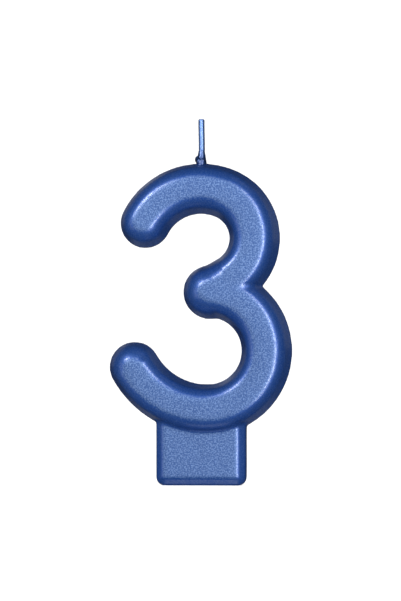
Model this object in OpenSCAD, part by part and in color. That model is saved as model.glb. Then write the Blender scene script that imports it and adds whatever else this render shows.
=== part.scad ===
// Number birthday candle, figure 3: one wax casting on a flat foot, a plaited wick and a lacquer skin.
// Millimetres, +Z up. The front looks along -Y and the parting plane of the mould is Y = 0.
// The origin is at the middle of the foot's bottom face.

/* [Figure stroke] */
// Width of the wax stroke, measured on the parting plane
stroke_w = 11.3; // [9:0.1:13.5]
// Thickness of the figure from its front face to its back face
figure_t = 11.8; // [9:0.1:15]
// Draft of the stroke's side walls, in degrees
wall_draft = 14; // [8:1:17]
// Radius of the rounded shoulder between a side wall and a face
shoulder_r = 3.6; // [1.5:0.1:4]
// How much wider than the stroke the round left end of the middle bar is
bar_end_swell = 0.7; // [0.4:0.1:1.5]

/* [Figure outline] */
// Radius of the upper arm, to the middle of the stroke
upper_arm_r = 14.08; // [12:0.1:18]
// Turn of the upper arm, in degrees
upper_arm_turn = 85.5; // [60:0.5:100]
// Radius of the upper bowl, to the middle of the stroke
upper_bowl_r = 11; // [9.5:0.1:13]
// Turn of the upper bowl, in degrees
upper_bowl_turn = 127.9; // [110:0.5:140]
// Length of the straight part of the middle bar
bar_len = 5.1; // [3:0.1:8]
// Radius of the lower bowl, to the middle of the stroke
lower_bowl_r = 13.2; // [11:0.1:16]
// Turn of the lower bowl, in degrees
lower_bowl_turn = 176.6; // [150:0.5:185]
// Radius of the lower arm, to the middle of the stroke
lower_arm_r = 18.95; // [15:0.1:24]
// Turn of the lower arm, in degrees
lower_arm_turn = 61.9; // [40:0.5:75]
// How far the figure stands to the right of the foot's middle
figure_shift = 1.5; // [-3:0.1:4]

/* [Foot] */
// Width of the foot
foot_w = 20; // [14:0.1:26]
// Height of the foot below the stroke
foot_h = 11.3; // [6:0.1:18]
// Thickness of the foot from its front face to its back face
foot_t = 5.8; // [4:0.1:8]
// Width of the bevel round the foot's faces
foot_bevel_w = 1.6; // [0.8:0.1:2.5]
// Depth of the bevel round the foot's faces
foot_bevel_d = 1.3; // [0.5:0.1:1.8]
// Radius of the foot's two lower corners
foot_corner_r = 1.8; // [1:0.1:4]

/* [Wick] */
// Diameter of the primed wick
wick_d = 1.1; // [0.9:0.05:1.6]
// Length of wick that stands above the wax
wick_out = 10; // [5:0.5:20]
// Depth to which the wick is set into the top stroke
wick_in = 8; // [4:0.5:9]
// How far the wick stands to the right of the figure's highest point
wick_shift = 0.2; // [-1:0.1:1]
// Gap between the wick and its hole, all round
wick_gap = 0.05; // [0.02:0.01:0.15]
// Length of one full plait of the strands
plait_len = 6; // [4:0.5:12]
// Diameter of the wax seal where the wick leaves the wax
seal_d = 2.1; // [1.8:0.1:3.5]
// Height of the wax seal
seal_h = 2.8; // [1.5:0.1:4.5]

/* [Lacquer] */
// Thickness of the metallic lacquer skin
skin_t = 0.12; // [0.08:0.01:0.3]

/* [Hidden] */
$fn = 96;

WAX = "oldlace";
COTTON = "ivory";
PRIMER_WAX = "wheat";
LACQUER = [0.24, 0.36, 0.66];

// Flat facets that stand for the shoulder's round, from wall to face
shoulder_steps = 6;
// Over-run of cutting shapes past the faces they cut
cut = 1;
// Round shapes on the wick's axis are turned by this much, which keeps their seams off the parting ridge
seam_turn = 37;
// Each stretch of the stroke runs this far into the next one
lap = 0.2;
// Each stretch is this much thinner than the one it runs into, so that no two faces are flush
step = 0.005;
// How full each stretch of the stroke is, in steps: the middle bar's round end is the fullest
END_FULL = 0;
ARM_FULL = 1;
LOWER_BOWL_FULL = 2;
UPPER_BOWL_FULL = 3;
BAR_FULL = 4;
BAR_END_FULL = 5;

// Polar angles at which the arcs of the spine join, each seen from its own centre
bar_angle = 88.1;
upper_exit = -60.7;
upper_join = upper_exit + upper_bowl_turn;
lower_join = bar_angle - lower_bowl_turn;
upper_tip = upper_join + upper_arm_turn;
lower_tip = lower_join - lower_arm_turn;

function polar(r, a) = [r * cos(a), r * sin(a)];

// The spine is a chain of tangent arcs that starts from the lower bowl, which stands on the foot
lower_bowl_c = [figure_shift, foot_h + stroke_w / 2 + lower_bowl_r];
lower_arm_c = lower_bowl_c + polar(lower_bowl_r - lower_arm_r, lower_join);
bar_end_c = lower_bowl_c + polar(lower_bowl_r, bar_angle);
upper_bowl_c = bar_end_c + polar(bar_len, upper_exit + 90) - polar(upper_bowl_r, upper_exit);
upper_arm_c = upper_bowl_c + polar(upper_bowl_r - upper_arm_r, upper_join);

// How far the strokes that meet in the middle bar's round end run past its centre, as a share of the
// way to the end's outline
bar_end_lap_share = 0.7;
bar_end_lap = bar_end_lap_share * sqrt(pow((stroke_w + bar_end_swell) / 2, 2) - pow(stroke_w / 2, 2));

// The wick stands close beside the highest point of the upper arm
crown = upper_arm_c + [wick_shift, upper_arm_r + stroke_w / 2];
wick_bottom = crown[1] - wick_in;
wick_top = crown[1] + wick_out;
hole_d = wick_d + 2 * wick_gap;
seal_sink = seal_d / 2;
// Wax round the wick at the top of the seal
seal_neck = 0.08;
// Heights of the seal's straight rim and of its waist, as shares of its whole height
seal_rim_share = 0.15;
seal_waist_share = 0.45;
// Bevel at the wick's tip, as a share of its diameter
tip_bevel_share = 0.2;

// The foot runs up into the stroke as far as the lowest point of the spine
foot_top = foot_h + stroke_w / 2;
// How much larger than the bevel a lower corner of the foot is at least
corner_margin = 0.1;
// Depth of the block that cuts away what lies below the foot's bottom face
ground_depth = 10;

// Wax left between the strands and the primer's face, and between one strand and the next
strand_cover = 0.04;
strand_gap = 0.03;
// A strand swings to the side, and 0.9 times as far to the front. Its path then reaches 1.178 swings
// from the wick's axis, and the paths of two strands come within 1.125 swings of each other.
plait_depth_share = 0.9;
plait_reach = 1.178;
plait_spacing = 1.125;
// The thickest strands that such a plait holds inside the primed wick
strand_room = wick_d / 2 - strand_cover - strand_gap * plait_reach / plait_spacing;
strand_d = strand_room / (0.5 + plait_reach / plait_spacing);
plait_swing = (strand_d + strand_gap) / plait_spacing;
strand_sides = 8;
rings_per_plait = 12;

// Half of the stroke's section from the parting plane to the face, on the side of +x.
// grow thickens it all round, as a skin does.
function section_side(half_w, grow) =
    let (
        w = half_w + grow / cos(wall_draft),
        t = figure_t / 2 + grow,
        r = shoulder_r + grow,
        wall_h = t - r * (1 - sin(wall_draft)),
        wall_in = wall_h * tan(wall_draft),
        cx = w - wall_in - r * cos(wall_draft),
        cy = t - r
    )
    [for (i = [0 : shoulder_steps])
        let (a = wall_draft + (90 - wall_draft) * i / shoulder_steps)
        [cx + r * cos(a), cy + r * sin(a)]];

// The points of one quarter, and the others as its mirror images
function mirrored(points, sx, sy) = [for (p = points) [sx * p[0], sy * p[1]]];
function backwards(points) = [for (i = [len(points) - 1 : -1 : 0]) points[i]];

// Right half of the section, closed along the middle of the stroke
module half_section(half_w, grow) {
    side = section_side(half_w, grow);
    polygon(concat(
        [[0, -figure_t / 2 - grow]],
        backwards(mirrored(side, 1, -1)),
        [[half_w + grow / cos(wall_draft), 0]],
        side,
        [[0, figure_t / 2 + grow]]
    ));
}

// Whole section of the stroke
module full_section(half_w, grow) {
    side = section_side(half_w, grow);
    edge = half_w + grow / cos(wall_draft);
    polygon(concat(
        backwards(mirrored(side, 1, -1)),
        [[edge, 0]],
        side,
        backwards(mirrored(side, -1, 1)),
        [[-edge, 0]],
        mirrored(side, -1, -1)
    ));
}

// Stands a shape that was turned about Z in the XY plane upright, at a point of the XZ plane
module upright(at) {
    translate([at[0], 0, at[1]])
        rotate([90, 0, 0])
            children();
}

// One arc of the stroke, from polar angle a0 round by turn, run on by lap0 before it and lap1 after
module stroke_arc(centre, r, a0, turn, grow, lap0 = 0, lap1 = 0) {
    before = lap0 / r * 180 / PI;
    after = lap1 / r * 180 / PI;
    upright(centre)
        rotate([0, 0, a0 - before])
            rotate_extrude(angle = before + turn + after)
                translate([r, 0])
                    full_section(stroke_w / 2, grow);
}

// Half-round end of the stroke, from polar angle a0 round by a half turn
module stroke_end(at, a0, grow) {
    upright(at)
        rotate([0, 0, a0])
            rotate_extrude(angle = 180)
                half_section(stroke_w / 2, grow);
}

module upper_arm(grow) {
    tip = upper_tip - lap / upper_arm_r * 180 / PI;
    stroke_arc(upper_arm_c, upper_arm_r, upper_join, upper_arm_turn, grow + ARM_FULL * step, lap);
    stroke_end(upper_arm_c + polar(upper_arm_r, tip), tip, grow + END_FULL * step);
}

module upper_bowl(grow) {
    stroke_arc(upper_bowl_c, upper_bowl_r, upper_exit, upper_bowl_turn, grow + UPPER_BOWL_FULL * step, lap);
}

module middle_bar(grow) {
    upright(bar_end_c)
        rotate([0, 0, upper_exit + 90])
            translate([-bar_end_lap, 0, 0])
                rotate([90, 0, 90])
                    linear_extrude(height = bar_end_lap + bar_len)
                        full_section(stroke_w / 2, grow + BAR_FULL * step);
    upright(bar_end_c)
        rotate_extrude()
            half_section((stroke_w + bar_end_swell) / 2, grow + BAR_END_FULL * step);
}

module lower_bowl(grow) {
    stroke_arc(lower_bowl_c, lower_bowl_r, lower_join, lower_bowl_turn, grow + LOWER_BOWL_FULL * step,
        0, bar_end_lap);
}

module lower_arm(grow) {
    tip = lower_tip + lap / lower_arm_r * 180 / PI;
    stroke_arc(lower_arm_c, lower_arm_r, lower_tip, lower_arm_turn, grow + ARM_FULL * step, 0, lap);
    stroke_end(lower_arm_c + polar(lower_arm_r, tip), tip + 180, grow + END_FULL * step);
}

module figure(grow) {
    upper_arm(grow);
    upper_bowl(grow);
    middle_bar(grow);
    lower_bowl(grow);
    lower_arm(grow);
}

// Section of the foot's rim, measured outwards from x = 0
module rim_section(depth, grow) {
    t = foot_t / 2 + grow;
    land = foot_t / 2 - foot_bevel_d + grow;
    polygon([
        [0, -t],
        [depth - foot_bevel_w + grow, -t],
        [depth + grow, -land],
        [depth + grow, land],
        [depth - foot_bevel_w + grow, t],
        [0, t]
    ]);
}

// The foot: a plate with a bevelled rim on both sides and below, and round lower corners
module foot(grow) {
    r = max(foot_corner_r, foot_bevel_w + corner_margin);
    half = foot_w / 2 - r;
    translate([-half, -foot_t / 2 - grow, r])
        cube([2 * half, foot_t + 2 * grow, foot_top - r]);
    for (side = [0, 1])
        mirror([side, 0, 0]) {
            translate([half, 0, r])
                linear_extrude(height = foot_top - r)
                    rim_section(r, grow);
            upright([half, r])
                rotate([0, 0, -90])
                    rotate_extrude(angle = 90)
                        rim_section(r, grow);
        }
    translate([-half, 0, r])
        rotate([90, 90, 90])
            linear_extrude(height = 2 * half)
                rim_section(r, grow);
}

module casting_body(grow) {
    figure(grow);
    foot(grow);
}

// Puts a round shape on the wick's axis
module on_wick_axis(z = 0) {
    translate([crown[0], 0, z])
        rotate([0, 0, seam_turn])
            children();
}

// The wick's outer shape, from z0 up, with a small bevel at its tip
module wick_rod(d, z0, z1) {
    tip = d * tip_bevel_share;
    on_wick_axis()
        rotate_extrude()
            polygon([[0, z0], [d / 2, z0], [d / 2, z1 - tip], [d / 2 - tip, z1], [0, z1]]);
}

// The seal's outer shape: a squat cone that hollows in to the wick
module seal_cone(grow) {
    foot_r = seal_d / 2 + grow;
    neck_r = wick_d / 2 + seal_neck + grow;
    z0 = crown[1] - seal_sink;
    z1 = crown[1] + seal_h + grow;
    waist = crown[1] + seal_h * seal_waist_share + grow;
    on_wick_axis()
        rotate_extrude()
            polygon([
                [0, z0],
                [foot_r, z0],
                [foot_r, crown[1] + seal_h * seal_rim_share],
                [(foot_r + neck_r) / 2, waist],
                [neck_r, z1],
                [0, z1]
            ]);
}

module below_ground() {
    translate([-foot_w, -foot_w, -ground_depth])
        cube([2 * foot_w, 2 * foot_w, ground_depth]);
}

module wax_casting() {
    color(WAX)
        difference() {
            casting_body(0);
            on_wick_axis(wick_bottom)
                cylinder(d = hole_d, h = wick_in + cut);
        }
}

// Middle of one strand at height z: the path of a flat three-strand plait
function plait_point(phase, z) =
    let (a = 360 * z / plait_len + phase)
    [crown[0] + plait_swing * sin(a), plait_depth_share * plait_swing * sin(2 * a), z];

// Level rings along the strand's path, joined into a closed tube
module wick_strand(phase) {
    length = wick_top - wick_bottom;
    rings = ceil(length / plait_len * rings_per_plait);
    points = [for (k = [0 : rings], s = [0 : strand_sides - 1])
        let (
            mid = plait_point(phase, wick_bottom + length * k / rings),
            a = 360 * s / strand_sides
        )
        mid + strand_d / 2 * [cos(a), sin(a), 0]];
    walls = [for (k = [0 : rings - 1], s = [0 : strand_sides - 1])
        let (next = (s + 1) % strand_sides)
        [k * strand_sides + s, (k + 1) * strand_sides + s,
         (k + 1) * strand_sides + next, k * strand_sides + next]];
    floor_ring = [for (s = [0 : strand_sides - 1]) s];
    roof_ring = [for (s = [strand_sides - 1 : -1 : 0]) rings * strand_sides + s];
    color(COTTON)
        polyhedron(points = points, faces = concat(walls, [floor_ring, roof_ring]));
}

module wick_primer() {
    color(PRIMER_WAX)
        difference() {
            wick_rod(wick_d, wick_bottom, wick_top);
            for (k = [0 : 2])
                wick_strand(120 * k);
        }
}

module wick_seal() {
    color(WAX)
        difference() {
            seal_cone(0);
            upper_arm(0);
            on_wick_axis(wick_bottom)
                cylinder(d = wick_d, h = wick_in + wick_out);
        }
}

// One continuous skin over the casting, the seal and the bare wick, open under the foot
module lacquer_skin() {
    color(LACQUER)
        difference() {
            union() {
                casting_body(skin_t);
                seal_cone(skin_t);
                wick_rod(wick_d + 2 * skin_t, crown[1], wick_top + skin_t);
            }
            casting_body(0);
            seal_cone(0);
            wick_rod(wick_d, crown[1] - cut, wick_top);
            below_ground();
        }
}

wax_casting();
wick_strand(0);  // wick_strand_1
wick_strand(120);  // wick_strand_2
wick_strand(240);  // wick_strand_3
wick_primer();
wick_seal();
lacquer_skin();
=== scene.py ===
"""Number birthday candle: looks for a figure 3 of cast wax under a metallic blue lacquer, on a flat foot."""

import math

import bmesh
import bpy
from bpy.props import FloatProperty, FloatVectorProperty, PointerProperty
from mathutils import Matrix, Vector, noise


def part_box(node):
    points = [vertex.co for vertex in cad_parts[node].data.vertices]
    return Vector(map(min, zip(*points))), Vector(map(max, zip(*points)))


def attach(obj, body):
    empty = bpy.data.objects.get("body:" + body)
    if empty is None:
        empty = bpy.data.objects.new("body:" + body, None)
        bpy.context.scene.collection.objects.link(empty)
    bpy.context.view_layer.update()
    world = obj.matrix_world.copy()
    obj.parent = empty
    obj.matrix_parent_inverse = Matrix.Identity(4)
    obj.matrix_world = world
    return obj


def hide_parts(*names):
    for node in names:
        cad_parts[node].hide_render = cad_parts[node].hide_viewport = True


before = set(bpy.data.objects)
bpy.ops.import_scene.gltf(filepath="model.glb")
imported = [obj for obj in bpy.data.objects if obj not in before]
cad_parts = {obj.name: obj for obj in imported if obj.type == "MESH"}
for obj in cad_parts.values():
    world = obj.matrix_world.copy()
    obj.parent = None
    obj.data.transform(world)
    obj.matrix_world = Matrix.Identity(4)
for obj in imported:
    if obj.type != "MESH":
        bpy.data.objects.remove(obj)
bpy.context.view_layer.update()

bl_info = {
    "name": "Number candle",
    "version": (1, 0, 0),
    "blender": (4, 5, 0),
    "location": "3D View > Sidebar > Candle",
    "description": "Builds a lacquered number candle around its packed frame",
    "category": "Add Mesh",
}

MM = 0.001
SKIN_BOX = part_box("lacquer_skin")
WAX_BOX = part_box("wax_casting")
PRIMER_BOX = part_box("wick_primer")
SEAL_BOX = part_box("wick_seal")

# The depth axis of the figure: arcs of the stroke turn about it, from +X towards +Z
ARC_AXIS = Vector((0, -1, 0))
UP = Vector((0, 0, 1))

SKIN = SKIN_BOX[1].y - WAX_BOX[1].y
WICK_X = (PRIMER_BOX[0].x + PRIMER_BOX[1].x) / 2
WICK_RADIUS = (PRIMER_BOX[1].x - PRIMER_BOX[0].x) / 2
CROWN_Z = WAX_BOX[1].z

# Points that lie closer together than this count as one point, or as points of one line
SAME = 1e-7
# Faces and edges this close to a flat end belong to it
AT_END = 1e-6
# A cutting plane takes in points that lie this close to it
ON_PLANE = 1e-8
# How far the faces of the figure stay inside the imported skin
FACE_INSET = 0.02 * MM
# How many smoothing passes round off a remeshed surface
SOFT_PASSES = 3
# Segments of a rounded shoulder, and of a rounded corner of the foot
ROUND_SEGMENTS = 10
# A face of the stroke is cut this often across, so that it can be crowned
FACE_CUTS = 7
# Turn of one step of a swept arc in degrees, and the fewest steps that an arc has
STEP_TURN = 2
FEWEST_STEPS = 8
# Steps of a round end's full turn
END_STEPS = 72
# Neighbouring arcs of the stroke overlap by this turn at each end
ARC_LAP = math.radians(0.5)
# Size of the waves in the figure's surface, and depth and size of those in the wick's coat
FIGURE_WAVE = 4 * MM
WICK_WAVE_DEPTH = 0.04 * MM
WICK_WAVE = 0.6 * MM
# Grain begins where a surface faces this squarely to the front or back, and is full a little above that
GRAIN_FROM = 0.94
GRAIN_OVER = 0.05
# Radii of the openings for the wick, in the lacquer under the bead and in the wax
LACQUER_HOLE = 0.9 * MM
WAX_HOLE = 0.6 * MM
# Gap between the wax and the lacquer, and between the wick and its coat
WAX_GAP = 0.005 * MM
COAT_GAP = 0.004 * MM
# How far the coat of the wick, and the foot of its bead, reach down into the crown
COAT_SINK = 0.2 * MM
BEAD_SINK = 0.4 * MM
# Bevel at the tip of the wick's coat
TIP_BEVEL = 0.25 * MM
# Lumps of the bead, in millimetres: across, through and up from the crown, and radius
BEAD_LUMPS = (
    (-0.82, -0.15, 0.95, 0.72),
    (-0.5, -0.5, 0.5, 0.78),
    (0.25, -0.5, 0.6, 0.66),
    (0.38, 0.2, 0.5, 0.6),
    (-0.3, 0.5, 0.8, 0.7),
    (0.12, -0.2, 1.6, 0.62),
    (-0.38, 0.0, 1.9, 0.55),
)
# Heights above the crown between which the painted shade at the wick's root fades out
ROOT_SHADE_LOW = 1.4 * MM
ROOT_SHADE_HIGH = 3.8 * MM


def length(name, about, size):
    """A length that a user may change, in metres."""
    return FloatProperty(name=name, description=about, default=size, unit="LENGTH", precision=5)


def turn(name, about, degrees):
    """An angle that a user may change."""
    return FloatProperty(name=name, description=about, default=math.radians(degrees), subtype="ANGLE")


def colour(name, about, rgb):
    """A linear colour that a user may change."""
    return FloatVectorProperty(
        name=name, description=about, default=rgb, subtype="COLOR", size=3, min=0, max=1
    )


class CandleFigure(bpy.types.PropertyGroup):
    """Sizes of the figure and its foot, over the lacquer"""

    stroke: length("Stroke", "Width of the stroke on the parting plane", 11.55 * MM)
    draft: turn("Draft", "Slope of the side walls away from straight", 16)
    shoulder: length("Shoulder", "Radius of the round between a wall and a face", 2.6 * MM)
    bar_shoulder: length("Bar shoulder", "The same on the bar and the lower end", 3.9 * MM)
    arm_shoulder: length("Arm shoulder", "The same on the upper arm", 3.0 * MM)
    crowning: length("Crowning", "How far a face falls from its middle to its edge", 0.2 * MM)
    bar_end: length("Bar end", "Width of the round left end of the middle bar", 12.3 * MM)
    upper_arm: length("Upper arm", "Radius of the upper arm's spine", 14.08 * MM)
    upper_arm_turn: turn("Upper arm turn", "Turn of the upper arm", 85.5)
    upper_bowl: length("Upper bowl", "Radius of the upper bowl's spine", 11.0 * MM)
    upper_bowl_turn: turn("Upper bowl turn", "Turn of the upper bowl", 127.9)
    bar: length("Bar", "Length of the straight part of the middle bar", 5.1 * MM)
    bar_angle: turn("Bar angle", "Polar angle at which the lower bowl leaves the bar", 88.1)
    upper_exit: turn("Upper exit", "Polar angle at which the upper bowl meets the bar", -60.7)
    lower_bowl: length("Lower bowl", "Radius of the lower bowl's spine", 13.2 * MM)
    lower_bowl_turn: turn("Lower bowl turn", "Turn of the lower bowl", 176.6)
    lower_arm: length("Lower arm", "Radius of the lower arm's spine", 18.95 * MM)
    lower_arm_turn: turn("Lower arm turn", "Turn of the lower arm", 61.9)
    shift: length("Shift", "How far the figure stands to the right of the foot's middle", 1.5 * MM)
    foot_width: length("Foot width", "Width of the foot", 20.24 * MM)
    foot_height: length("Foot height", "Height of the foot below the stroke", 11.2 * MM)
    foot_depth: length("Foot depth", "Thickness of the foot", 6.04 * MM)
    foot_corner: length("Foot corner", "Radius of the foot's lower corners", 1.9 * MM)
    rim_width: length("Rim width", "Width of the bevel round the foot's faces", 1.65 * MM)
    rim_depth: length("Rim depth", "Depth of the bevel round the foot's faces", 1.3 * MM)
    grid: length("Grid", "Size of the facets of the cast surface", 0.385 * MM)
    waviness: length("Waviness", "Unevenness that casting leaves in the surface", 0.05 * MM)


class CandleWick(bpy.types.PropertyGroup):
    """Sizes of the lacquered wick and the bead at its root"""

    width: length("Width", "Thickness of the lacquered wick", 1.46 * MM)
    lean: length("Lean", "How far the coat wanders off the wick's axis", 0.05 * MM)
    bead_width: length("Bead width", "Width of the bead at the wick's root", 2.56 * MM)
    bead_height: length("Bead height", "Height of the bead", 2.9 * MM)
    grid: length("Grid", "Size of the facets of the coat", 0.075 * MM)


class CandleFinish(bpy.types.PropertyGroup):
    """Colours of the finishes"""

    lacquer: colour("Lacquer", "Metallic lacquer on the smooth walls", (0.007, 0.040, 0.185))
    grained: colour(
        "Grained lacquer", "The same between the flakes of the grained faces", (0.009, 0.038, 0.135)
    )
    flake: colour("Flake", "Light flakes in the lacquer", (0.052, 0.108, 0.245))
    # Painted sheen: the wick's lacquer and flakes are lighter copies of the body's, painted in for the
    # highlight along the wick
    wick_lacquer_painted_sheen: colour("Wick lacquer with painted sheen", "Lacquer over the pale wick", (0.075, 0.15, 0.36))
    wick_flake_painted_sheen: colour("Wick flake with painted sheen", "Light flakes over the pale wick", (0.26, 0.36, 0.60))
    # Painted shade: a darker lacquer colour over the wick's root
    shaded: colour("Shaded lacquer", "Lacquer pooled at the wick's root", (0.009, 0.032, 0.12))
    wax: colour("Wax", "Bare paraffin wax", (0.80, 0.76, 0.66))
    primer: colour("Primer", "Wax that stiffens the wick", (0.74, 0.68, 0.50))
    cotton: colour("Cotton", "Yarn of the wick", (0.78, 0.74, 0.64))
    floor: colour("Floor", "Studio floor", (0.9, 0.9, 0.9))


# ---------------------------------------------------------------- mesh helpers


def polar(radius, angle):
    """A point of the figure's plane, from its polar radius and angle."""
    return Vector((radius * math.cos(angle), 0, radius * math.sin(angle)))


def finish_mesh(name, bm):
    """Turns a bmesh into a linked object at the origin."""
    mesh = bpy.data.meshes.new(name)
    bm.to_mesh(mesh)
    bm.free()
    piece = bpy.data.objects.new(name, mesh)
    bpy.context.scene.collection.objects.link(piece)
    return piece


def bake_modifiers(piece):
    """Replaces a piece's mesh with what its modifiers make of it."""
    bpy.context.view_layer.update()
    graph = bpy.context.evaluated_depsgraph_get()
    made = bpy.data.meshes.new_from_object(piece.evaluated_get(graph))
    piece.modifiers.clear()
    piece.data = made
    return piece


def remesh(piece, grid):
    """Unites the closed shapes of a piece into one even skin of small faces."""
    mod = piece.modifiers.new("unite", "REMESH")
    mod.mode = "VOXEL"
    mod.voxel_size = grid
    mod.use_smooth_shade = True
    return bake_modifiers(piece)


def cut_away(piece, tool):
    """Takes the tool's shape out of the piece, and removes the tool."""
    mod = piece.modifiers.new("cut", "BOOLEAN")
    mod.operation = "DIFFERENCE"
    mod.solver = "EXACT"
    mod.object = tool
    bake_modifiers(piece)
    bpy.data.objects.remove(tool)
    return piece


def shade_smooth(piece):
    """Smooth shading on every face."""
    piece.data.polygons.foreach_set("use_smooth", [True] * len(piece.data.polygons))


def section(bm, half_width, sizes, shoulder):
    """The stroke's section as one face: x across the stroke, y through it."""
    depth = SKIN_BOX[1].y - FACE_INSET
    slope = math.tan(sizes.draft)
    corner = half_width - depth * slope
    outline = [
        (half_width, 0), (corner, depth), (-corner, depth),
        (-half_width, 0), (-corner, -depth), (corner, -depth),
    ]
    face = bm.faces.new([bm.verts.new((x, y, 0)) for x, y in outline])
    shoulders = [v for v in face.verts if abs(v.co.y) > 0]
    setback = shoulder * math.tan((math.pi / 2 - sizes.draft) / 2)
    bmesh.ops.bevel(
        bm, geom=shoulders, offset=setback, segments=ROUND_SEGMENTS, affect="VERTICES",
        profile=0.5, material=-1,
    )
    flats = [e for e in bm.edges if all(abs(abs(v.co.y) - depth) < SAME for v in e.verts)]
    bmesh.ops.subdivide_edges(bm, edges=flats, cuts=FACE_CUTS)
    for v in bm.verts:
        if abs(v.co.y) > depth / 2:
            fall = sizes.crowning * (v.co.x / corner) ** 2
            v.co.y -= math.copysign(fall, v.co.y)


def close_ends(bm):
    """Fills the open ends of a swept tube and points its faces outwards."""
    open_edges = [e for e in bm.edges if e.is_boundary]
    if open_edges:
        bmesh.ops.holes_fill(bm, edges=open_edges, sides=0)
    bmesh.ops.recalc_face_normals(bm, faces=bm.faces)


def place_section(bm, at, angle):
    """Stands a section upright at a point, with its x axis along a polar angle."""
    across, through = polar(1, angle), Vector((0, 1, 0))
    frame_of = Matrix((across, through, across.cross(through))).transposed().to_4x4()
    bmesh.ops.transform(bm, matrix=Matrix.Translation(at) @ frame_of, verts=bm.verts)


def swept_arc(centre, radius, start, sweep, half_width, sizes, shoulder):
    """One arc of the stroke as a closed shape."""
    bm = bmesh.new()
    section(bm, half_width, sizes, shoulder)
    bmesh.ops.delete(bm, geom=bm.faces[:], context="FACES_ONLY")
    place_section(bm, centre + polar(radius, start), start)
    steps = max(FEWEST_STEPS, round(math.degrees(sweep) / STEP_TURN))
    bmesh.ops.spin(
        bm, geom=bm.verts[:] + bm.edges[:], cent=centre, axis=ARC_AXIS,
        angle=sweep, steps=steps, use_duplicate=False,
    )
    close_ends(bm)
    return bm


def swept_bar(start, along, size, half_width, sizes, shoulder):
    """A straight stretch of the stroke as a closed shape."""
    bm = bmesh.new()
    section(bm, half_width, sizes, shoulder)
    bmesh.ops.delete(bm, geom=bm.faces[:], context="FACES_ONLY")
    place_section(bm, start, along + math.pi / 2)
    made = bmesh.ops.extrude_edge_only(bm, edges=bm.edges[:])["geom"]
    moved = [v for v in made if isinstance(v, bmesh.types.BMVert)]
    bmesh.ops.translate(bm, vec=polar(size, along), verts=moved)
    close_ends(bm)
    return bm


def round_end(at, half_width, sizes, shoulder):
    """A round end of the stroke: its half section turned about its middle."""
    bm = bmesh.new()
    section(bm, half_width, sizes, shoulder)
    everything = bm.verts[:] + bm.edges[:] + bm.faces[:]
    bmesh.ops.bisect_plane(
        bm, geom=everything, plane_co=(0, 0, 0), plane_no=(1, 0, 0), clear_inner=True, dist=ON_PLANE
    )
    bmesh.ops.delete(bm, geom=bm.faces[:], context="FACES_ONLY")
    axis_edges = [e for e in bm.edges if all(abs(v.co.x) < SAME for v in e.verts)]
    bmesh.ops.delete(bm, geom=axis_edges, context="EDGES")
    bmesh.ops.spin(
        bm, geom=bm.verts[:] + bm.edges[:], cent=(0, 0, 0), axis=(0, 1, 0),
        angle=math.tau, steps=END_STEPS, use_merge=True, use_duplicate=False,
    )
    bmesh.ops.remove_doubles(bm, verts=bm.verts, dist=SAME)
    bmesh.ops.translate(bm, vec=at, verts=bm.verts)
    close_ends(bm)
    return bm


def foot_plate(sizes, top):
    """The foot: a plate with round lower corners and a bevelled rim on both faces."""
    land = sizes.foot_depth / 2 - sizes.rim_depth
    below = 0.06 * MM
    bm = bmesh.new()
    bmesh.ops.create_cube(bm, size=1)
    bmesh.ops.scale(bm, vec=(sizes.foot_width, 2 * land, top + below), verts=bm.verts)
    bmesh.ops.translate(bm, vec=(0, 0, (top - below) / 2), verts=bm.verts)
    low_edges = [e for e in bm.edges if all(v.co.z < 0 for v in e.verts)]
    corners = [e for e in low_edges if abs(e.verts[0].co.x - e.verts[1].co.x) < SAME]
    bmesh.ops.bevel(
        bm, geom=corners, offset=sizes.foot_corner, segments=ROUND_SEGMENTS, affect="EDGES",
        profile=0.5, material=-1,
    )
    for side in (-1, 1):
        face = [f for f in bm.faces if f.normal.y * side > 0.9]
        bmesh.ops.inset_region(
            bm, faces=face, thickness=sizes.rim_width, depth=sizes.rim_depth, use_even_offset=True
        )
    bmesh.ops.recalc_face_normals(bm, faces=bm.faces)
    return bm


def joined(name, shapes):
    """Puts several closed bmesh shapes into one object."""
    whole = bmesh.new()
    for shape in shapes:
        mesh = bpy.data.meshes.new("shape")
        shape.to_mesh(mesh)
        shape.free()
        whole.from_mesh(mesh)
        bpy.data.meshes.remove(mesh)
    return finish_mesh(name, whole)


# ---------------------------------------------------------------- the cast figure


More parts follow.
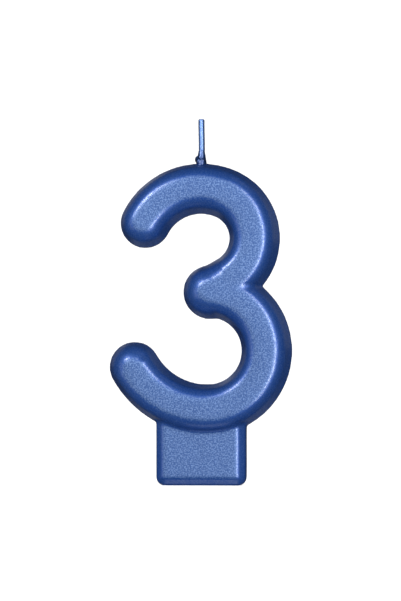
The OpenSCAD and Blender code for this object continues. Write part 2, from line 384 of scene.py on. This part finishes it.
def figure_shapes(sizes):
    """Every stretch of the stroke, and the foot, as closed shapes that overlap."""
    half = sizes.stroke / 2
    upper_join = sizes.upper_exit + sizes.upper_bowl_turn
    lower_join = sizes.bar_angle - sizes.lower_bowl_turn
    upper_tip = upper_join + sizes.upper_arm_turn
    lower_tip = lower_join - sizes.lower_arm_turn

    lower_bowl = Vector((sizes.shift, 0, sizes.foot_height + half + sizes.lower_bowl))
    lower_arm = lower_bowl + polar(sizes.lower_bowl - sizes.lower_arm, lower_join)
    bar_end = lower_bowl + polar(sizes.lower_bowl, sizes.bar_angle)
    bar_along = sizes.upper_exit + math.pi / 2
    upper_bowl = bar_end + polar(sizes.bar, bar_along) - polar(sizes.upper_bowl, sizes.upper_exit)
    upper_arm = upper_bowl + polar(sizes.upper_bowl - sizes.upper_arm, upper_join)
    plain, bar, arm = sizes.shoulder, sizes.bar_shoulder, sizes.arm_shoulder

    return [
        swept_arc(
            upper_arm, sizes.upper_arm, upper_join, sizes.upper_arm_turn, half, sizes, arm),
        round_end(upper_arm + polar(sizes.upper_arm, upper_tip), half, sizes, arm),
        swept_arc(
            upper_bowl, sizes.upper_bowl, sizes.upper_exit - ARC_LAP, sizes.upper_bowl_turn + 2 * ARC_LAP,
            half, sizes, plain),
        swept_bar(bar_end, bar_along, sizes.bar, half, sizes, bar),
        round_end(bar_end, sizes.bar_end / 2, sizes, bar),
        swept_arc(
            lower_bowl, sizes.lower_bowl, lower_join - ARC_LAP, sizes.lower_bowl_turn + 2 * ARC_LAP,
            half, sizes, plain),
        swept_arc(
            lower_arm, sizes.lower_arm, lower_tip, sizes.lower_arm_turn, half, sizes, plain),
        round_end(lower_arm + polar(sizes.lower_arm, lower_tip), half, sizes, bar),
        foot_plate(sizes, sizes.foot_height + half),
    ]


def soften(bm):
    """Rounds off what casting and dipping can't hold sharp."""
    for _ in range(SOFT_PASSES):
        bmesh.ops.smooth_vert(
            bm, verts=bm.verts, factor=0.5, use_axis_x=True, use_axis_y=True, use_axis_z=True
        )


def roughen(bm, depth, scale):
    """Sinks the surface here and there by up to depth, in waves of about scale."""
    bm.normal_update()
    for v in bm.verts:
        wave = noise.noise(v.co / scale) * 0.5 + 0.5
        v.co -= v.normal * depth * wave


def mark_faces(bm):
    """Stores where the mould's grained faces are: on what looks to the front or the back."""
    layer = bm.verts.layers.float.new("face_grain")
    bm.normal_update()
    for v in bm.verts:
        flat = (abs(v.normal.y) - GRAIN_FROM) / GRAIN_OVER
        v[layer] = min(max(flat, 0), 1)


def cast_surface(sizes):
    """The whole outer surface of the candle's body, open under the foot."""
    piece = remesh(joined("cast_surface", figure_shapes(sizes)), sizes.grid)
    bm = bmesh.new()
    bm.from_mesh(piece.data)
    soften(bm)
    roughen(bm, sizes.waviness, FIGURE_WAVE)
    everything = bm.verts[:] + bm.edges[:] + bm.faces[:]
    bmesh.ops.bisect_plane(
        bm, geom=everything, plane_co=(0, 0, 0), plane_no=UP, clear_inner=True, dist=ON_PLANE
    )
    mark_faces(bm)
    bpy.data.objects.remove(piece)
    return bm


def upright_cylinder(name, radius, low, high):
    """A closed round tool that stands on the wick's axis."""
    bm = bmesh.new()
    bmesh.ops.create_cone(
        bm, cap_ends=True, segments=48, radius1=radius, radius2=radius, depth=high - low
    )
    bmesh.ops.translate(bm, vec=(WICK_X, 0, (low + high) / 2), verts=bm.verts)
    return finish_mesh(name, bm)


def shrink(bm, depth):
    """Moves the surface inwards by depth."""
    bm.normal_update()
    for v in bm.verts:
        v.co -= v.normal * depth


# ---------------------------------------------------------------- operators


def settings():
    """The sizes of the figure and of the wick, and the finishes."""
    scene = bpy.context.scene
    return scene.candle_figure, scene.candle_wick, scene.candle_finish


def put_finish(piece, material):
    """One finish over the whole piece."""
    piece.data.materials.clear()
    piece.data.materials.append(material)


class AddLacquerCoat(bpy.types.Operator):
    """Add the lacquer skin over the figure and the foot"""

    bl_idname = "candle.add_lacquer_coat"
    bl_label = "Lacquer coat"

    def execute(self, context):
        sizes, _, finish = settings()
        piece = finish_mesh("lacquer_coat", cast_surface(sizes))
        wall = piece.modifiers.new("wall", "SOLIDIFY")
        wall.thickness = SKIN
        wall.offset = -1
        bake_modifiers(piece)
        cut_away(piece, upright_cylinder("hole", LACQUER_HOLE, CROWN_Z - 2 * MM, CROWN_Z + 2 * MM))
        shade_smooth(piece)
        put_finish(piece, metallic_lacquer("metallic_lacquer", finish.lacquer, finish.grained, finish.flake))
        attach(piece, "root")
        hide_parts("lacquer_skin")
        return {"FINISHED"}


class AddWaxBody(bpy.types.Operator):
    """Add the wax casting inside the lacquer, bare under the foot"""

    bl_idname = "candle.add_wax_body"
    bl_label = "Wax body"

    def execute(self, context):
        sizes, _, finish = settings()
        bm = cast_surface(sizes)
        shrink(bm, SKIN + WAX_GAP)
        for v in bm.verts:
            if v.is_boundary:
                v.co.z = 0
        close_ends(bm)
        bmesh.ops.triangulate(bm, faces=[f for f in bm.faces if len(f.verts) > 4])
        piece = finish_mesh("wax_body", bm)
        cut_away(piece, upright_cylinder("hole", WAX_HOLE, PRIMER_BOX[0].z, CROWN_Z + MM))
        shade_smooth(piece)
        for face in piece.data.polygons:
            if face.center.z < AT_END:
                face.use_smooth = False
        put_finish(piece, bare_wax(finish))
        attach(piece, "root")
        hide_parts("wax_casting")
        return {"FINISHED"}


class AddWickCoat(bpy.types.Operator):
    """Add the lacquer over the wick and the bead at its root"""

    bl_idname = "candle.add_wick_coat"
    bl_label = "Wick coat"

    def execute(self, context):
        _, sizes, finish = settings()
        piece = remesh(joined("wick_coat", wick_shapes(sizes)), sizes.grid)
        bm = bmesh.new()
        bm.from_mesh(piece.data)
        bmesh.ops.recalc_face_normals(bm, faces=bm.faces)
        soften(bm)
        roughen(bm, WICK_WAVE_DEPTH, WICK_WAVE)
        layer = bm.verts.layers.float.new("face_grain")
        for v in bm.verts:
            v[layer] = 0
        bm.to_mesh(piece.data)
        bm.free()
        top = PRIMER_BOX[1].z + COAT_GAP
        cut_away(piece, upright_cylinder("bore", WICK_RADIUS + COAT_GAP, CROWN_Z - MM, top))
        shade_smooth(piece)
        # The wick's lacquer is a lighter copy of the body's as painted sheen, darkened at its root as painted
        # shade
        put_finish(piece, metallic_lacquer(
            "wick_lacquer_painted_sheen", finish.wick_lacquer_painted_sheen, finish.wick_lacquer_painted_sheen, finish.wick_flake_painted_sheen,
            metal=0.92, shaded=finish.shaded))
        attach(piece, "root")
        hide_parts("lacquer_skin")
        return {"FINISHED"}


def wick_rod(sizes):
    """The coated wick: a rod with a bevelled tip, which wanders a little off its axis."""
    radius = sizes.width / 2
    top = SKIN_BOX[1].z
    low = CROWN_Z - COAT_SINK
    rod = bmesh.new()
    bmesh.ops.create_cone(
        rod, cap_ends=True, segments=32, radius1=radius, radius2=radius, depth=top - low
    )
    bmesh.ops.translate(rod, vec=(0, 0, (low + top) / 2), verts=rod.verts)
    tip = [e for e in rod.edges if all(v.co.z > top - AT_END for v in e.verts)]
    bmesh.ops.bevel(
        rod, geom=tip, offset=TIP_BEVEL, segments=4, affect="EDGES", profile=0.5, material=-1
    )
    sides = [e for e in rod.edges if abs(e.verts[0].co.z - e.verts[1].co.z) > 2 * MM]
    bmesh.ops.subdivide_edges(rod, edges=sides, cuts=40, use_grid_fill=True)
    for v in rod.verts:
        share = (v.co.z - low) / (top - low)
        v.co.x += sizes.lean * math.sin(math.tau * 0.6 * share + 0.6)
        v.co.y += sizes.lean * 0.6 * math.sin(math.tau * 0.9 * share)
    return rod


def bead_cone(sizes):
    """The body of the bead, which tapers up into the coated wick and covers the seal."""
    skirt = max(sizes.bead_width, SEAL_BOX[1].x - SEAL_BOX[0].x + 2 * SKIN) / 2
    neck = sizes.width / 2 * 1.02
    cone = bmesh.new()
    bmesh.ops.create_cone(
        cone, cap_ends=True, segments=32, radius1=skirt, radius2=neck, depth=sizes.bead_height + BEAD_SINK
    )
    middle = CROWN_Z + sizes.bead_height / 2 - BEAD_SINK / 2
    bmesh.ops.translate(cone, vec=(0, 0, middle), verts=cone.verts)
    return cone


def wick_shapes(sizes):
    """The coated wick and the lumps of the bead at its root, as closed shapes that overlap."""
    shapes = [wick_rod(sizes), bead_cone(sizes)]
    for x, y, z, size in BEAD_LUMPS:
        lump = bmesh.new()
        bmesh.ops.create_icosphere(lump, subdivisions=3, radius=size * MM)
        bmesh.ops.scale(lump, vec=(1, 1, 1.25), verts=lump.verts)
        bmesh.ops.translate(lump, vec=(x * MM, y * MM, CROWN_Z + z * MM), verts=lump.verts)
        shapes.append(lump)
    for shape in shapes:
        bmesh.ops.translate(shape, vec=(WICK_X, 0, 0), verts=shape.verts)
    return shapes


class FinishWickParts(bpy.types.Operator):
    """Give the strands, the primer and the seal their finishes"""

    bl_idname = "candle.finish_wick_parts"
    bl_label = "Wick parts"

    def execute(self, context):
        _, _, finish = settings()
        yarn = cotton_yarn(finish)
        for name in ("wick_strand_1", "wick_strand_2", "wick_strand_3"):
            put_finish(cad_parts[name], yarn)
        put_finish(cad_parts["wick_primer"], wick_wax(finish))
        put_finish(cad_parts["wick_seal"], bare_wax(finish))
        return {"FINISHED"}


# ---------------------------------------------------------------- finishes


class Nodes:
    """A short hand for building one material's node tree."""

    def __init__(self, name):
        self.material = bpy.data.materials.get(name) or bpy.data.materials.new(name)
        self.material.use_nodes = True
        self.tree = self.material.node_tree
        self.tree.nodes.clear()
        output = self.tree.nodes.new("ShaderNodeOutputMaterial")
        self.shader = self.tree.nodes.new("ShaderNodeBsdfPrincipled")
        self.link(self.shader.outputs[0], output.inputs[0])
        self.place = self.tree.nodes.new("ShaderNodeTexCoord").outputs["Object"]

    def link(self, a, b):
        """Links one socket to another."""
        self.tree.links.new(a, b)

    def add(self, kind, inputs=(), **options):
        """Adds a node, sets its properties, and sets or links its inputs."""
        node = self.tree.nodes.new("ShaderNode" + kind)
        for key, value in options.items():
            setattr(node, key, value)
        for key, value in dict(inputs).items():
            if isinstance(value, bpy.types.NodeSocket):
                self.link(value, node.inputs[key])
            else:
                node.inputs[key].default_value = value
        return node

    def speckle(self, size, detail=2.0, rough=0.5):
        """Soft noise whose blotches are about size across, from 0 to 1."""
        return self.add(
            "TexNoise",
            {"Vector": self.place, "Scale": 1 / size, "Detail": detail, "Roughness": rough},
        ).outputs[0]

    def cells(self, size):
        """A flat random value for each cell of about size, from 0 to 1."""
        found = self.add("TexVoronoi", {"Vector": self.place, "Scale": 1 / size})
        return self.add("SeparateColor", {"Color": found.outputs["Color"]}).outputs[0]

    def remap(self, value, low, high, to_low=0.0, to_high=1.0):
        """Stretches the range from low to high onto another range, and holds it there."""
        return self.add(
            "MapRange",
            {"Value": value, "From Min": low, "From Max": high, "To Min": to_low, "To Max": to_high},
        ).outputs[0]

    def maths(self, operation, a, b):
        """Works out one operation on two values."""
        return self.add("Math", {0: a, 1: b}, operation=operation).outputs[0]

    def blend(self, share, a, b):
        """A colour between a and b."""
        node = self.add("Mix", {"Factor": share}, data_type="RGBA")
        for socket, value in ((node.inputs[6], a), (node.inputs[7], b)):
            if isinstance(value, bpy.types.NodeSocket):
                self.link(value, socket)
            else:
                socket.default_value = (*value, 1)
        return node.outputs[2]

    def bump(self, height, depth, strength=1.0, under=None):
        """Relief of a given depth in metres, over the relief under it."""
        inputs = {"Height": height, "Distance": depth, "Strength": strength}
        if under is not None:
            inputs["Normal"] = under
        return self.add("Bump", inputs).outputs[0]

    def set(self, **values):
        """Sets or links the shader's own sockets, named with underscores for spaces."""
        for key, value in values.items():
            socket = self.shader.inputs[key.replace("_", " ")]
            if isinstance(value, bpy.types.NodeSocket):
                self.link(value, socket)
            else:
                socket.default_value = value


def metallic_lacquer(name, on_walls, on_faces, on_flakes, metal=0.63, shaded=None):
    """Satin metallic lacquer with fine flakes, and a grain on flat faces.

    Where a colour for the wick's root is given, it darkens the root as painted shade, fading out with height.
    """
    n = Nodes(name)
    grained = n.add("Attribute", attribute_name="face_grain").outputs["Fac"]
    flakes = n.cells(0.15 * MM)
    mottle = n.speckle(0.33 * MM, 2.0, 0.6)
    drift = n.speckle(9 * MM, 1.0)

    glints = n.remap(flakes, 0.5, 1.0, 0.0, 0.5)
    mottles = n.remap(mottle, 0.38, 0.66, -0.4, 0.9)
    share = n.maths("MULTIPLY", n.maths("ADD", glints, mottles), n.remap(grained, 0, 1, 0.15, 1.0))
    share = n.maths("ADD", share, n.remap(drift, 0.3, 0.7, -0.04, 0.06))
    share = n.add("Clamp", {"Value": share}).outputs[0]
    tint = n.blend(share, n.blend(grained, tuple(on_walls), tuple(on_faces)), tuple(on_flakes))
    # Painted shade: the lacquer darkens towards the wick's root
    if shaded is not None:
        height = n.add("SeparateXYZ", {"Vector": n.place}).outputs["Z"]
        shade_fade = n.remap(height, CROWN_Z + ROOT_SHADE_LOW, CROWN_Z + ROOT_SHADE_HIGH)
        tint = n.blend(shade_fade, tuple(shaded), tint)

    roughness = n.remap(mottle, 0.3, 0.7, 0.42, 0.48)
    gloss = n.maths("ADD", 0.6, n.maths("MULTIPLY", n.maths("SUBTRACT", mottles, 0.2), 0.4))
    peel = n.bump(n.speckle(1.4 * MM, 1.5), 0.015 * MM)
    grain_height = n.maths("MULTIPLY", n.speckle(0.45 * MM, 3.0, 0.65), grained)
    relief = n.bump(grain_height, 0.02 * MM, under=peel)
    n.set(
        Base_Color=tint, Metallic=metal, Roughness=roughness, Normal=relief, Coat_Normal=relief,
        Coat_Weight=n.add("Clamp", {"Value": gloss}).outputs[0], Coat_Roughness=0.28, Coat_IOR=1.6,
        Specular_Tint=(0.45, 0.62, 1.0, 1.0),
    )
    return n.material


def bare_wax(finish):
    """Cloudy paraffin wax, with the fine drag marks of a trimming knife."""
    n = Nodes("bare_wax")
    cloud = n.remap(n.speckle(2.5 * MM, 3.0), 0.3, 0.7)
    dark = tuple(c * 0.9 for c in finish.wax)
    stretched = n.add("Mapping", {"Vector": n.place, "Scale": (0.08, 1.0, 1.0)}).outputs[0]
    marks = n.add("TexNoise", {"Vector": stretched, "Scale": 1 / (0.25 * MM), "Detail": 2.0}).outputs[0]
    relief = n.bump(marks, 0.03 * MM, under=n.bump(n.speckle(0.9 * MM, 2.0), 0.03 * MM))
    n.set(
        Base_Color=n.blend(cloud, dark, tuple(finish.wax)), Roughness=n.remap(marks, 0.3, 0.7, 0.38, 0.55),
        Normal=relief, Subsurface_Weight=0.35, Subsurface_Radius=(1.0, 0.8, 0.6), Subsurface_Scale=0.8 * MM,
    )
    return n.material


def wick_wax(finish):
    """Hard amber-white wax that stiffens the wick."""
    n = Nodes("wick_wax")
    cloud = n.remap(n.speckle(0.5 * MM, 3.0), 0.3, 0.7)
    dark = tuple(c * 0.85 for c in finish.primer)
    n.set(
        Base_Color=n.blend(cloud, dark, tuple(finish.primer)), Roughness=n.remap(cloud, 0, 1, 0.35, 0.5),
        Normal=n.bump(n.speckle(0.2 * MM, 2.0), 0.02 * MM),
    )
    return n.material


def cotton_yarn(finish):
    """Twisted cotton yarn: fine fibres that run up the strand."""
    n = Nodes("cotton_yarn")
    along = n.add("Mapping", {"Vector": n.place, "Scale": (1.0, 1.0, 0.12)}).outputs[0]
    fibres = n.add("TexNoise", {"Vector": along, "Scale": 1 / (0.05 * MM), "Detail": 3.0}).outputs[0]
    share = n.remap(fibres, 0.35, 0.65)
    dark = tuple(c * 0.7 for c in finish.cotton)
    n.set(
        Base_Color=n.blend(share, dark, tuple(finish.cotton)), Roughness=n.remap(fibres, 0.3, 0.7, 0.8, 0.95),
        Normal=n.bump(fibres, 0.02 * MM), Sheen_Weight=0.3, Sheen_Roughness=0.5,
    )
    return n.material


def studio_floor(finish):
    """Matt pale floor with a faint unevenness."""
    n = Nodes("studio_floor")
    cloud = n.remap(n.speckle(0.2, 2.0), 0.3, 0.7)
    dark = tuple(c * 0.985 for c in finish.floor)
    n.set(Base_Color=n.blend(cloud, dark, tuple(finish.floor)), Roughness=0.9, Specular_IOR_Level=0)
    return n.material


# ---------------------------------------------------------------- the stage


def aim(thing, at, target):
    """Puts a light or the camera at a place, looking at the target."""
    thing.location = at
    thing.rotation_euler = (Vector(target) - Vector(at)).to_track_quat("-Z", "Y").to_euler()


def around(target, distance, azimuth, elevation):
    """A place seen from the target: azimuth 0 is in front, positive to the right."""
    a, e = math.radians(azimuth), math.radians(elevation)
    way = Vector((math.sin(a) * math.cos(e), -math.cos(a) * math.cos(e), math.sin(e)))
    return Vector(target) + way * distance


def softbox(name, target, distance, azimuth, elevation, wide, tall, brightness):
    """A soft rectangular light of a given surface brightness."""
    lamp = bpy.data.lights.new(name, "AREA")
    lamp.shape = "RECTANGLE"
    lamp.size = wide
    lamp.size_y = tall
    lamp.energy = brightness * math.pi * wide * tall
    light = bpy.data.objects.new(name, lamp)
    bpy.context.scene.collection.objects.link(light)
    aim(light, around(target, distance, azimuth, elevation), target)
    light.visible_camera = False
    return light


# Where the camera looks, from how far, azimuth and elevation in degrees, and half the height it takes in
VIEW_MIDDLE = Vector((-0.25 * MM, 0, 41.5 * MM))
VIEW_DISTANCE = 0.62
VIEW_AZIMUTH = 6.0
VIEW_ELEVATION = -2.5
HALF_VIEW = 67.6 * MM
# Size of the floor from its middle to its edge
FLOOR_REACH = 4
# Light that the white surroundings give, and what polished surfaces see of them
SURROUNDINGS = 1.2
REFLECTED_SURROUNDINGS = 0.03

# Name, distance, azimuth, elevation, width, height and surface brightness of each soft light
SOFTBOXES = (
    ("front", 0.8, -5, 10, 0.74, 0.90, 1.4),
    ("front_left", 0.8, -50, -4, 0.46, 0.50, 1.4),
    ("front_right", 0.8, 38, 4, 0.24, 0.95, 1.4),
    ("crest_strip", 0.8, 23, 3, 0.075, 0.80, 38.0),
    ("near_left", 0.3, -32, 28, 0.070, 0.070, 34.0),
    ("below", 0.8, 180, -28, 0.80, 0.30, 0.25),
    ("right_top", 0.8, 80, 62, 0.36, 0.36, 0.4),
    ("back_rim", 0.8, -172, 15, 0.35, 0.20, 1.0),
    ("back_right", 0.8, 132, 22, 0.50, 0.60, 0.22),
    ("back_left", 0.8, -132, 22, 0.50, 0.60, 0.22),
    ("floor_glow", 0.03, 0, -76, 0.03, 0.012, 1.3),
)


def pale_surroundings():
    """A white world that reflections see as nearly black, so that edges keep their colour."""
    world = bpy.data.worlds.new("surroundings")
    world.use_nodes = True
    tree = world.node_tree
    tree.nodes.clear()
    output = tree.nodes.new("ShaderNodeOutputWorld")
    choose = tree.nodes.new("ShaderNodeMixShader")
    path = tree.nodes.new("ShaderNodeLightPath")
    tree.links.new(path.outputs["Is Glossy Ray"], choose.inputs[0])
    for socket, strength in ((1, SURROUNDINGS), (2, REFLECTED_SURROUNDINGS)):
        backdrop = tree.nodes.new("ShaderNodeBackground")
        backdrop.inputs["Color"].default_value = (1, 1, 1, 1)
        backdrop.inputs["Strength"].default_value = strength
        tree.links.new(backdrop.outputs[0], choose.inputs[socket])
    tree.links.new(choose.outputs[0], output.inputs[0])
    return world


class AddStage(bpy.types.Operator):
    """Add the pale floor, the soft lights, the surroundings and the camera"""

    bl_idname = "candle.add_stage"
    bl_label = "Stage"

    def execute(self, context):
        _, _, finish = settings()
        scene = context.scene
        scene.view_settings.view_transform = "Standard"

        camera = bpy.data.objects.new("camera", bpy.data.cameras.new("camera"))
        scene.collection.objects.link(camera)
        aim(camera, around(VIEW_MIDDLE, VIEW_DISTANCE, VIEW_AZIMUTH, VIEW_ELEVATION), VIEW_MIDDLE)
        camera.data.sensor_fit = "VERTICAL"
        camera.data.angle = 2 * math.atan(HALF_VIEW / VIEW_DISTANCE)
        camera.data.clip_start = 0.01
        camera.data.clip_end = 20
        scene.camera = camera

        bm = bmesh.new()
        bmesh.ops.create_grid(bm, x_segments=8, y_segments=8, size=FLOOR_REACH)
        floor = finish_mesh("floor", bm)
        put_finish(floor, studio_floor(finish))
        floor.visible_glossy = False
        floor.visible_shadow = False

        sole = Vector((0, SKIN_BOX[0].y / 2, 0))
        for name, *place in SOFTBOXES:
            softbox(name, sole if name == "floor_glow" else VIEW_MIDDLE, *place)
        scene.world = pale_surroundings()
        return {"FINISHED"}


class CandlePanel(bpy.types.Panel):
    """Lists the candle's pieces"""

    bl_idname = "VIEW3D_PT_candle"
    bl_label = "Number candle"
    bl_space_type = "VIEW_3D"
    bl_region_type = "UI"
    bl_category = "Candle"

    def draw(self, context):
        for operator in OPERATORS:
            self.layout.operator(operator.bl_idname)
        for group in ("candle_figure", "candle_wick", "candle_finish"):
            sizes = getattr(context.scene, group)
            for name in sizes.bl_rna.properties.keys():
                if name not in ("rna_type", "name"):
                    self.layout.prop(sizes, name)


OPERATORS = (AddStage, AddWaxBody, AddLacquerCoat, AddWickCoat, FinishWickParts)
GROUPS = (CandleFigure, CandleWick, CandleFinish)


def register():
    for cls in (*GROUPS, *OPERATORS, CandlePanel):
        bpy.utils.register_class(cls)
    bpy.types.Scene.candle_figure = PointerProperty(type=CandleFigure)
    bpy.types.Scene.candle_wick = PointerProperty(type=CandleWick)
    bpy.types.Scene.candle_finish = PointerProperty(type=CandleFinish)


def unregister():
    del bpy.types.Scene.candle_figure
    del bpy.types.Scene.candle_wick
    del bpy.types.Scene.candle_finish
    for cls in (CandlePanel, *reversed(OPERATORS), *reversed(GROUPS)):
        bpy.utils.unregister_class(cls)


def main():
    register()
    bpy.ops.candle.add_stage()
    bpy.ops.candle.add_wax_body()
    bpy.ops.candle.add_lacquer_coat()
    bpy.ops.candle.add_wick_coat()
    bpy.ops.candle.finish_wick_parts()


if __name__ == "__main__":
    main()
